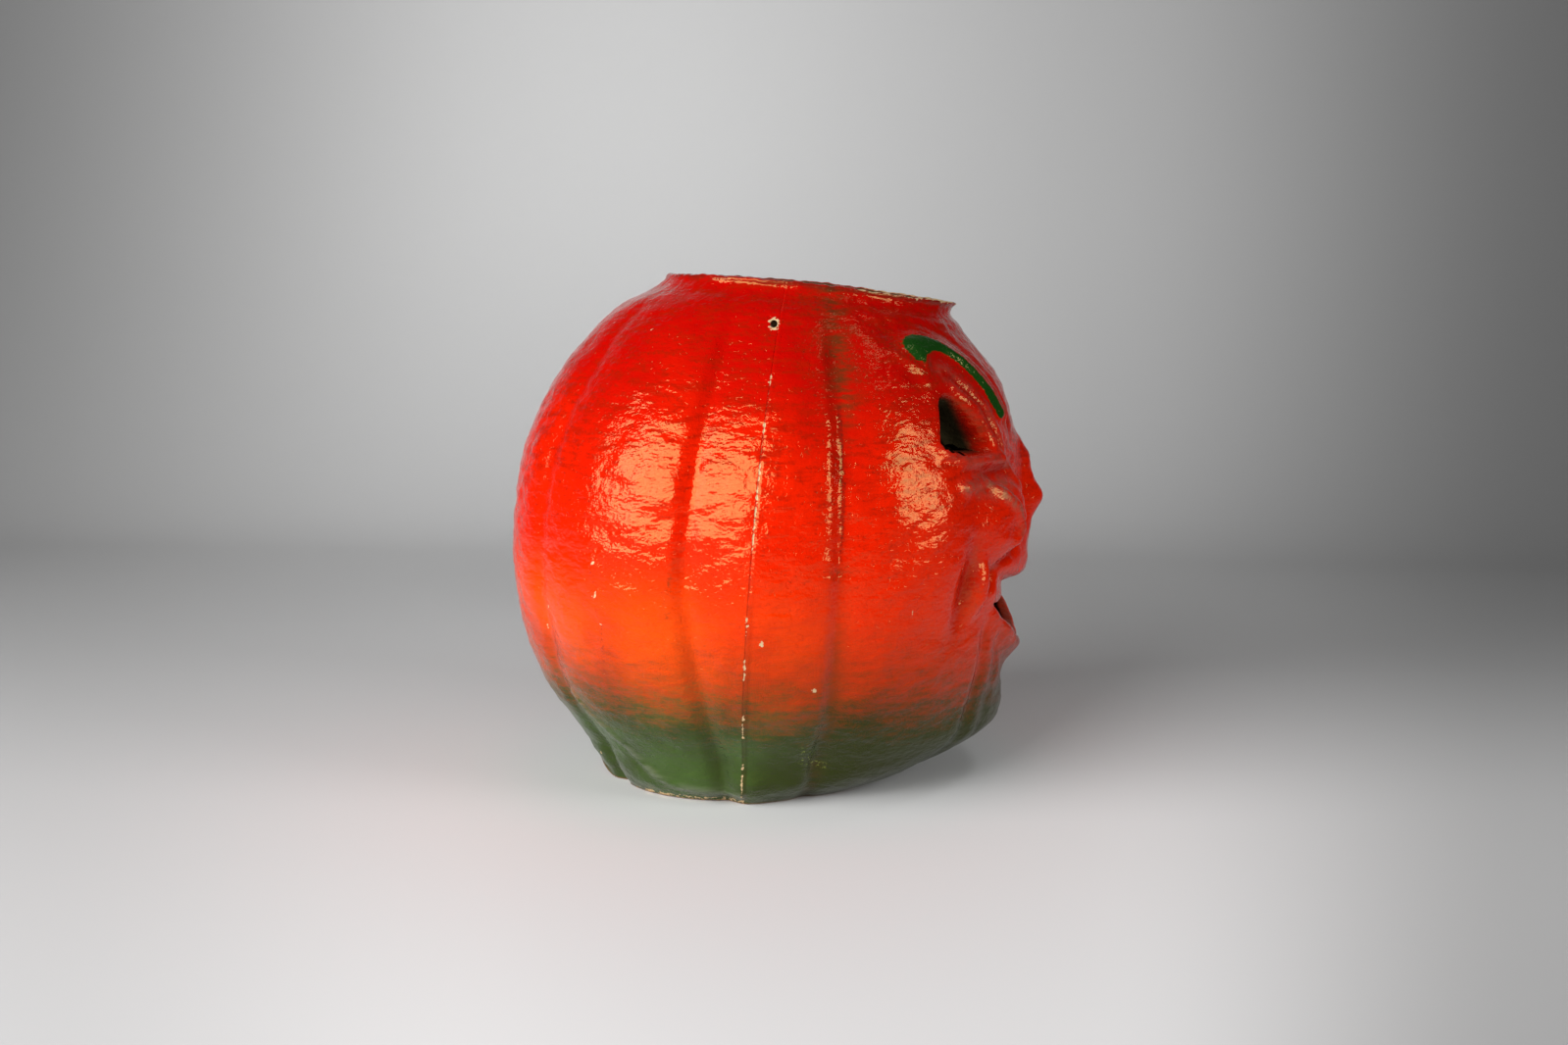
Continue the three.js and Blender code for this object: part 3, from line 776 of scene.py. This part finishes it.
def blendColour(tree, share, a, b):
    node = tree.nodes.new("ShaderNodeMix")
    node.data_type = "RGBA"
    for key, value in ((0, share), (6, a), (7, b)):
        if isinstance(value, bpy.types.NodeSocket):
            tree.links.new(value, node.inputs[key])
        else:
            node.inputs[key].default_value = value if key == 0 else (*value, 1)[:4]
    return node.outputs[2]


def noise(tree, vector, scale, detail=2.0, roughness=0.55):
    return put(tree, "ShaderNodeTexNoise", {"Vector": vector, "Scale": scale, "Detail": detail,
                                            "Roughness": roughness}).outputs[0]


def stretched(tree, vector, scale):
    return put(tree, "ShaderNodeVectorMath", {0: vector, 1: scale}, operation="MULTIPLY").outputs[0]


# the pulp's relief: dents and ripples pushed into the halves by Geometry Nodes
relief = {
    "seed": 4,
    # input: size in mm, waves in a metre along x, y and z, detail
    "layers": {"Dents": [0.42, (60, 60, 85), 1.0], "Ripples": [0.34, (120, 120, 280), 1.5],
               "Grain": [0.06, (520, 520, 620), 1.0]},
}


def reliefTree():
    tree = bpy.data.node_groups.new("pulpRelief", "GeometryNodeTree")
    sockets = tree.interface
    sockets.new_socket("Geometry", in_out="INPUT", socket_type="NodeSocketGeometry")
    for label in (*relief["layers"], "Seed"):
        sockets.new_socket(label, in_out="INPUT", socket_type="NodeSocketFloat")
    sockets.new_socket("Material", in_out="INPUT", socket_type="NodeSocketMaterial")
    sockets.new_socket("Geometry", in_out="OUTPUT", socket_type="NodeSocketGeometry")
    given = tree.nodes.new("NodeGroupInput").outputs
    position = tree.nodes.new("GeometryNodeInputPosition").outputs[0]

    def stored(name, kind):
        return put(tree, "GeometryNodeInputNamedAttribute", {"Name": name}, data_type=kind).outputs[0]

    total = 0.0
    for label, (_, scale, detail) in relief["layers"].items():
        field = put(tree, "ShaderNodeTexNoise",
                    {"Vector": stretched(tree, position, scale), "W": given["Seed"], "Scale": 1.0,
                     "Detail": detail}, noise_dimensions="4D").outputs[0]
        swing = calc(tree, "SUBTRACT", field, 0.5)                  # about a quarter each way
        layer = calc(tree, "MULTIPLY", swing, calc(tree, "MULTIPLY", given[label], 4.0))
        total = calc(tree, "ADD", total, layer)
    size = calc(tree, "MULTIPLY", total, stored("reliefShare", "FLOAT"))
    push = put(tree, "ShaderNodeVectorMath", {0: stored("outward", "FLOAT_VECTOR"), "Scale": size},
               operation="SCALE").outputs[0]
    moved = put(tree, "GeometryNodeSetPosition", {"Geometry": given["Geometry"], "Offset": push})
    real = put(tree, "GeometryNodeRealizeInstances", {"Geometry": moved.outputs[0]})
    done = put(tree, "GeometryNodeSetMaterial",
               {"Geometry": real.outputs[0], "Material": given["Material"]})
    tree.links.new(done.outputs[0], tree.nodes.new("NodeGroupOutput").inputs[0])
    return tree


def applyTree(piece, tree, inputs):
    # runs the tree on the piece and leaves a plain mesh
    modifier = piece.modifiers.new(tree.name, "NODES")
    modifier.node_group = tree
    for item in tree.interface.items_tree:
        if item.in_out == "INPUT" and item.name in inputs:
            modifier[item.identifier] = inputs[item.name]
    bpy.context.view_layer.update()
    evaluated = piece.evaluated_get(bpy.context.evaluated_depsgraph_get())
    result = bpy.data.meshes.new_from_object(evaluated)
    result.name = piece.name
    piece.modifiers.remove(modifier)
    piece.data = result
    return piece


# the paint, and the pulp that shows where it is gone
paint = {
    # the deep red is darkened as painted shade at the top; orange is used more on the lit back, as
    # painted light
    "red": (0.62, 0.0105, 0.0004), "deepRedAndShade": (0.41, 0.0014, 0.0004), "orange": (0.76, 0.054, 0.0006),
    "mottle": (0.20, 0.008, 0.002), "stain": (0.33, 0.006, 0.0005), "umber": (0.085, 0.016, 0.003),
    "green": (0.036, 0.076, 0.017), "greenDark": (0.012, 0.019, 0.0035), "nick": (0.25, 0.30, 0.06),
    # the socket colour and the near black after it are painted shade in the eye sockets
    "brow": (0.007, 0.046, 0.005), "socket": (0.07, 0.004, 0.0015), "socketShadow": (0.003, 0.002, 0.002),
    # shade: painted shade in the face's hollows
    "shade": (0.22, 0.001, 0.0003), "olive": (0.065, 0.027, 0.006), "dark": (0.04, 0.009, 0.005),
    # the dust colour is dust and painted sheen on the face's ridges; the pale grey after it is a painted
    # highlight along the crease over the back foot
    "dustAndSheen": (0.20, 0.08, 0.05), "creaseHighlight": (0.16, 0.17, 0.13), "cream": (0.52, 0.36, 0.20),
    # the first colour here is for the inside: unpainted pulp, made very dark as painted shade
    "rawPulpAndShade": (0.048, 0.021, 0.012), "foot": (0.19, 0.08, 0.028),
    "greenTop": 24.0, "redFoot": 73.0,     # mm: all green below, all red above
    "gloss": 0.10, "glossSpread": 0.06, "index": 1.43, "specularTint": (1.0, 0.8, 0.26),
    "weavePitch": 0.85, "weaveSlant": 0.35,      # mm, and the tangent of the slant
    "weave": 2.4, "wrinkles": 36.0, "grain": 10.0, "pits": 6.0,     # in hundredths of a mm
}


class PulpNodes:
    # the painted pulp's node tree, its fields of noise, and short calls for what repeats
    def __init__(self, tree):
        self.tree = tree
        self.place = tree.nodes.new("ShaderNodeTexCoord").outputs["Object"]
        split = put(tree, "ShaderNodeSeparateXYZ", {0: self.place}).outputs
        self.height, self.depth = self.times(split["Z"], 1000.0), self.times(split["Y"], 1000.0)   # mm
        self.clouds = self.even(26.0, 3.0)
        self.streaks = self.uneven((110, 110, 520), 3.0, 0.6)
        self.specks = self.uneven((700, 700, 1100), 3.0, 0.7)
        self.grain = self.even(950.0, 1.0)

    def even(self, scale, detail):
        return noise(self.tree, self.place, scale, detail)

    def uneven(self, scale, *settings):
        return noise(self.tree, stretched(self.tree, self.place, scale), 1.0, *settings)

    def times(self, a, b):
        return calc(self.tree, "MULTIPLY", a, b)

    def plus(self, a, b):
        return calc(self.tree, "ADD", a, b)

    def minus(self, a, b):
        return calc(self.tree, "SUBTRACT", a, b)

    def larger(self, a, b):
        return calc(self.tree, "MAXIMUM", a, b)

    def swing(self, field, amount):
        # a noise field made to swing both ways about 0
        return self.times(self.minus(field, 0.5), amount)

    def step(self, *values):
        return smoothStep(self.tree, *values)

    def mark(self, name, output="Fac"):
        return put(self.tree, "ShaderNodeAttribute", attribute_name=name).outputs[output]

    def coat(self, colour, share, name):
        return blendColour(self.tree, share, colour, paint[name])


def screenWeave(pulp):
    # the mould's wire screen, pressed into the pulp: two slanting sets of lines
    pitch, slant = 2 * math.pi * 1000 / paint["weavePitch"], paint["weaveSlant"]
    wrap = put(pulp.tree, "ShaderNodeSeparateXYZ", {0: pulp.mark("wrap", "Vector")}).outputs
    across = pulp.plus(wrap["X"], pulp.swing(pulp.clouds, 0.03))
    up = pulp.plus(wrap["Z"], pulp.swing(pulp.clouds, 0.03))
    rising = pulp.times(pulp.plus(across, pulp.times(up, slant)), pitch)
    falling = pulp.times(pulp.minus(up, pulp.times(across, slant)), pitch)
    waves = (calc(pulp.tree, "SINE", turn) for turn in (rising, falling))
    return pulp.times(pulp.plus(*waves), 0.25)


def bodyColour(pulp, weave):
    # red, deeper at the top and darkened there as painted shade; orange below the middle, more on the lit
    # back as painted light; green at the foot, darker towards the face as painted shade
    clouds, streaks, specks = pulp.clouds, pulp.streaks, pulp.specks
    # deeper red towards the top: the paint's own tone, darkened as painted shade
    top = pulp.step(pulp.plus(pulp.height, pulp.swing(clouds, 60.0)), 100.0, 155.0)
    colour = pulp.coat(paint["red"], top, "deepRedAndShade")
    # more orange low down; its share falls towards the face as painted shade and stays high on the lit
    # back as painted light
    low = pulp.times(pulp.step(pulp.height, 94.0, 60.0), pulp.step(pulp.depth, -45.0, 35.0, 0.12, 1.0))
    colour = pulp.coat(colour, pulp.times(low, pulp.step(clouds, 0.25, 0.6, 0.35, 1.0)), "orange")
    mottle = pulp.times(pulp.step(specks, 0.48, 0.70), pulp.step(streaks, 0.36, 0.62))
    mottle = pulp.times(mottle, pulp.step(pulp.height, 60.0, 140.0, 0.3, 0.9))
    colour = pulp.coat(colour, mottle, "mottle")
    stain = pulp.times(pulp.step(streaks, 0.46, 0.66, 0.0, 0.75), pulp.step(pulp.height, 80.0, 130.0))
    colour = pulp.coat(colour, stain, "stain")
    edge = pulp.height
    for field, reach in ((streaks, 26.0), (clouds, 16.0), (specks, 20.0)):
        edge = pulp.plus(edge, pulp.swing(field, reach))
    edge = pulp.plus(edge, pulp.times(weave, 4.0))
    greenShare = pulp.step(edge, paint["redFoot"], paint["greenTop"])
    # lighter green in clouds; darker towards the face as painted shade
    lighterGreen = pulp.step(clouds, 0.35, 0.65, 0.3, 1.0)
    lighterGreen = pulp.times(lighterGreen, pulp.step(pulp.depth, -40.0, 20.0, 0.1, 1.0))
    green = pulp.coat(paint["greenDark"], lighterGreen, "green")
    green = pulp.coat(green, pulp.step(greenShare, 0.95, 0.45, 0.0, 0.7), "umber")
    return blendColour(pulp.tree, greenShare, colour, green), greenShare


def dirtPaintedLightAndBrows(pulp, colour):
    # dirt in the grooves with painted shade low in one, painted shade in the face's hollows, dust and
    # painted sheen on the high places, painted brows, a painted highlight along the foot crease, and
    # painted shade and near black in the eye sockets
    # olive dirt in the groove, and painted shade low in it
    groove = pulp.times(pulp.mark("groove"), pulp.step(pulp.streaks, 0.32, 0.62, 0.0, 0.75))
    colour = pulp.coat(colour, groove, "olive")
    smudge = pulp.times(pulp.mark("smudge"), pulp.step(pulp.specks, 0.35, 0.62))
    colour = pulp.coat(colour, smudge, "olive")
    ragged = pulp.plus(pulp.mark("grooveLine"), pulp.swing(pulp.specks, 0.9))
    colour = pulp.coat(colour, pulp.step(ragged, 0.5, 1.1, 0.0, 0.6), "dark")
    # painted shade: the face's hollows are darkened
    colour = pulp.coat(colour, pulp.times(pulp.mark("shade"), 0.8), "shade")
    # dust and painted sheen on the face's ridges
    dustAndSheen = pulp.times(pulp.mark("dustAndSheen"), pulp.step(pulp.even(260.0, 3.0), 0.30, 0.66))
    colour = pulp.coat(colour, pulp.times(dustAndSheen, 0.75), "dustAndSheen")
    brow = pulp.plus(pulp.mark("brow"), pulp.swing(pulp.specks, 0.7))
    colour = pulp.coat(colour, pulp.step(brow, 0.40, 0.62), "brow")
    # painted highlight: a pale grey line along the crease over the back foot
    creaseHighlight = pulp.times(pulp.mark("creaseHighlight"), pulp.step(pulp.streaks, 0.35, 0.6, 0.0, 0.45))
    colour = pulp.coat(colour, creaseHighlight, "creaseHighlight")
    # painted shade: the eye socket's wall is painted dark red-brown, and its deepest part near black,
    # where shade falls
    socket = pulp.mark("socket")
    colour = pulp.coat(colour, socket, "socket")
    deepIn = pulp.plus(pulp.depth, pulp.times(pulp.minus(133.0, pulp.height), 0.43))
    socketShadow = pulp.times(pulp.step(deepIn, -64.0, -59.0), pulp.step(socket, 0.02, 0.3))
    return pulp.coat(colour, socketShadow, "socketShadow"), dustAndSheen, socketShadow


def wornPlaces(pulp, colour):
    # cracks, the dark line of the seam, nicks and bare pulp; the foot's underside, and the inside:
    # unpainted pulp darkened as painted shade
    for name, field, limits, tint in (("crack", pulp.specks, (0.5, 0.62, 0.0, 0.6), "dark"),
                                      ("seamLine", pulp.streaks, (0.3, 0.6, 0.2, 0.7), "dark"),
                                      ("nick", pulp.grain, (0.56, 0.66, 0.0, 0.7), "nick")):
        colour = pulp.coat(colour, pulp.times(pulp.mark(name), pulp.step(field, *limits)), tint)
    ragged = pulp.plus(pulp.mark("bare"), pulp.swing(pulp.even(620.0, 3.0), 2.2))
    bare = pulp.step(ragged, 0.68, 0.86)
    colour = pulp.coat(colour, bare, "cream")
    colour = pulp.coat(colour, pulp.times(pulp.mark("under"), 0.85), "foot")
    # the inside: unpainted pulp, painted near black as painted shade
    return pulp.coat(colour, pulp.mark("inner"), "rawPulpAndShade"), bare


def pulpRoughness(pulp, greenShare, bare, dustAndSheen, socketShadow):
    # glossy paint, duller on the green, and matt where it is bare, where there is dust and painted sheen,
    # and where the eye sockets are painted black
    matt = pulp.larger(bare, pulp.times(pulp.mark("inner"), 0.9))
    matt = pulp.larger(matt, pulp.larger(socketShadow, pulp.times(dustAndSheen, 0.4)))
    rough = pulp.step(pulp.streaks, 0.3, 0.7, paint["gloss"], paint["gloss"] + paint["glossSpread"])
    rough = pulp.plus(rough, pulp.times(greenShare, 0.10))
    return pulp.larger(rough, pulp.times(matt, 0.85))


def pulpBump(pulp, weave):
    # the screen's weave, wrinkles, grain and pits
    screen = pulp.step(pulp.even(45.0, 2.0), 0.35, 0.6, 0.25 * paint["weave"], paint["weave"])
    pits = pulp.step(pulp.even(640.0, 0.5), 0.66, 0.73)
    level = pulp.times(weave, screen)
    level = pulp.plus(level, pulp.times(pulp.uneven((290, 290, 600), 1.5), paint["wrinkles"]))
    level = pulp.plus(level, pulp.times(pulp.grain, paint["grain"]))
    level = pulp.minus(level, pulp.times(pits, paint["pits"]))
    bump = put(pulp.tree, "ShaderNodeBump", {"Strength": 1.0, "Distance": 0.00001, "Height": level})
    return bump.outputs[0]


def paintedPulp():
    material = bpy.data.materials.new("paintedPulp")
    material.use_nodes = True
    tree = material.node_tree
    pulp = PulpNodes(tree)
    weave = screenWeave(pulp)
    colour, greenShare = bodyColour(pulp, weave)
    colour, dustAndSheen, socketShadow = dirtPaintedLightAndBrows(pulp, colour)
    colour, bare = wornPlaces(pulp, colour)
    inputs = tree.nodes["Principled BSDF"].inputs
    tree.links.new(colour, inputs["Base Color"])
    tree.links.new(pulpRoughness(pulp, greenShare, bare, dustAndSheen, socketShadow), inputs["Roughness"])
    tree.links.new(pulpBump(pulp, weave), inputs["Normal"])
    inputs["Specular Tint"].default_value = (*paint["specularTint"], 1)
    inputs["IOR"].default_value = paint["index"]
    return material


painted = paintedPulp()
relieved = reliefTree()
reliefSizes = {label: size / 1000 for label, (size, _, _) in relief["layers"].items()}
shells = []
for name in ("front", "back"):
    points, faces, kinds, h, phi = buildHalf(name)
    mesh = bpy.data.meshes.new(name + "Half")
    mesh.from_pydata((points / 1000).tolist(), [], faces)
    mesh.polygons.foreach_set("use_smooth", np.ones(len(mesh.polygons), bool))
    putAttributes(mesh, markValues(kinds, h, phi), h, phi)
    piece = bpy.data.objects.new(name + "Half", mesh)
    bpy.context.scene.collection.objects.link(piece)
    applyTree(piece, relieved, {"Seed": float(relief["seed"]), "Material": painted, **reliefSizes})
    piece.data.calc_loop_triangles()
    shells.append(piece)
    print("stage:", piece.name, len(piece.data.loop_triangles), "triangles")

for piece in shells:
    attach(piece, "root")
    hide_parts("lantern_shell")


# floor, camera and light
studio = {
    "frontEnd": -2.5, "bendStart": 0.48, "bendRadius": 0.55, "bendSteps": 24, "wallTop": 2.2,    # m
    "halfWidth": 3.5, "world": 0.012,
    # painted shade: the paper's grey is painted darker in front, to both sides and towards the back wall
    "paper": [0.08, 0.64], "frontEdge": [-0.70, -0.25],     # its greys, and where it goes over in front
    "fadeFrom": [-0.62, -0.056],         # the paper darkens to both sides of the line from here
    "fades": [[0.25, 0.60, 0.72], [0.60, 0.95, 0.4], [-0.10, -0.36, 0.5], [-0.34, -0.60, 0.15]],
    # degrees from -x towards +y, then up; width, height, distance in m; radiance
    "softboxes": {"keyLight": [41, 18.0, 0.92, 0.54, 0.88, 9.8],
                  "fillLight": [-66, 13.5, 0.46, 0.60, 1.1, 7.8]},
    "aimHeight": 0.09,
    "spots": {     # place, aim, size, radiance, spread
        "backLight": [(0.34, 0.24, 0.85), (1.05, 0.24, 0.2), 0.3, 3.6, 90],
        "sideLight": [(-0.14, -0.48, 0.75), (-0.14, -0.41, 0), 0.35, 0.95, 50]},
}
viewpoint = {"yaw": 5, "pitch": 7.8, "distance": 0.622, "height": 0.173, "lens": 40}


def shadedPaperSweep():
    # painted shade: pale round the object, painted darker towards the sides, in front and a little
    # towards the back
    material = bpy.data.materials.new("shadedPaperSweep")
    material.use_nodes = True
    tree = material.node_tree
    shader = tree.nodes["Principled BSDF"]
    place = tree.nodes.new("ShaderNodeTexCoord").outputs["Object"]
    x, y, _ = put(tree, "ShaderNodeSeparateXYZ", {0: place}).outputs
    fromX, fromY = studio["fadeFrom"]
    reach = calc(tree, "MAXIMUM", calc(tree, "SUBTRACT", x, fromX), 0.15)
    aside = calc(tree, "DIVIDE", calc(tree, "SUBTRACT", y, fromY), reach)
    share = smoothStep(tree, x, *studio["frontEdge"], *studio["paper"])
    for start, end, least in studio["fades"]:
        share = calc(tree, "MULTIPLY", share, smoothStep(tree, aside, start, end, 1.0, least))
    share = calc(tree, "MULTIPLY", share, smoothStep(tree, x, 0.3, 0.9, 1.0, 0.8))
    grey = put(tree, "ShaderNodeCombineColor", {"Red": share, "Green": share, "Blue": share})
    tree.links.new(grey.outputs[0], shader.inputs["Base Color"])
    shader.inputs["Roughness"].default_value = 0.9
    return material


def sweep():
    start, bend, steps = studio["bendStart"], studio["bendRadius"], studio["bendSteps"]
    profile = [(studio["frontEnd"], 0.0), (start, 0.0)]
    for k in range(1, steps + 1):
        turn = math.pi / 2 * k / steps
        profile.append((start + bend * math.sin(turn), bend * (1 - math.cos(turn))))
    profile.append((profile[-1][0], studio["wallTop"]))
    points = [(x, side * studio["halfWidth"], z) for x, z in profile for side in (-1, 1)]
    quads = [(2 * k, 2 * k + 2, 2 * k + 3, 2 * k + 1) for k in range(len(profile) - 1)]
    mesh = bpy.data.meshes.new("floor")
    mesh.from_pydata(points, [], quads)
    mesh.polygons.foreach_set("use_smooth", np.ones(len(quads), bool))
    mesh.materials.append(shadedPaperSweep())
    floor = bpy.data.objects.new("floor", mesh)
    bpy.context.scene.collection.objects.link(floor)


def aim(thing, place, direction):
    thing.location = place
    thing.rotation_euler = Vector(direction).to_track_quat("-Z", "Y").to_euler()
    bpy.context.scene.collection.objects.link(thing)


def softboxes():
    aimed = Vector((0, 0, studio["aimHeight"]))
    for name, (azimuth, elevation, width, height, distance, radiance) in studio["softboxes"].items():
        a, e = math.radians(azimuth), math.radians(elevation)
        direction = Vector((-math.cos(a) * math.cos(e), math.sin(a) * math.cos(e), math.sin(e)))
        light = bpy.data.lights.new(name, "AREA")
        light.shape = "RECTANGLE"
        light.size, light.size_y = width, height
        light.energy = radiance * math.pi * width * height
        aim(bpy.data.objects.new(name, light), direction * distance + aimed, -direction)
    for name, (place, target, size, radiance, spread) in studio["spots"].items():
        light = bpy.data.lights.new(name, "AREA")
        light.shape, light.size, light.spread = "SQUARE", size, math.radians(spread)
        light.energy = radiance * math.pi * size * size
        aim(bpy.data.objects.new(name, light), place, Vector(target) - Vector(place))


def camera():
    yaw, pitch = math.radians(viewpoint["yaw"]), math.radians(viewpoint["pitch"])
    away = viewpoint["distance"]
    data = bpy.data.cameras.new("camera")
    data.lens, data.sensor_width, data.clip_start = viewpoint["lens"], 36, 0.01
    seat = bpy.data.objects.new("camera", data)
    place = (-away * math.cos(yaw), -away * math.sin(yaw) + body["shiftY"] / 1000, viewpoint["height"])
    ahead = (math.cos(yaw) * math.cos(pitch), math.sin(yaw) * math.cos(pitch), -math.sin(pitch))
    aim(seat, place, ahead)
    bpy.context.scene.camera = seat


sweep()
softboxes()
camera()
world = bpy.data.worlds.new("studio")
world.use_nodes = True
background = world.node_tree.nodes["Background"].inputs
background[0].default_value, background[1].default_value = (1, 1, 1, 1), studio["world"]
bpy.context.scene.world = world
bpy.context.scene.view_settings.view_transform = "Standard"
print("stage: studio")
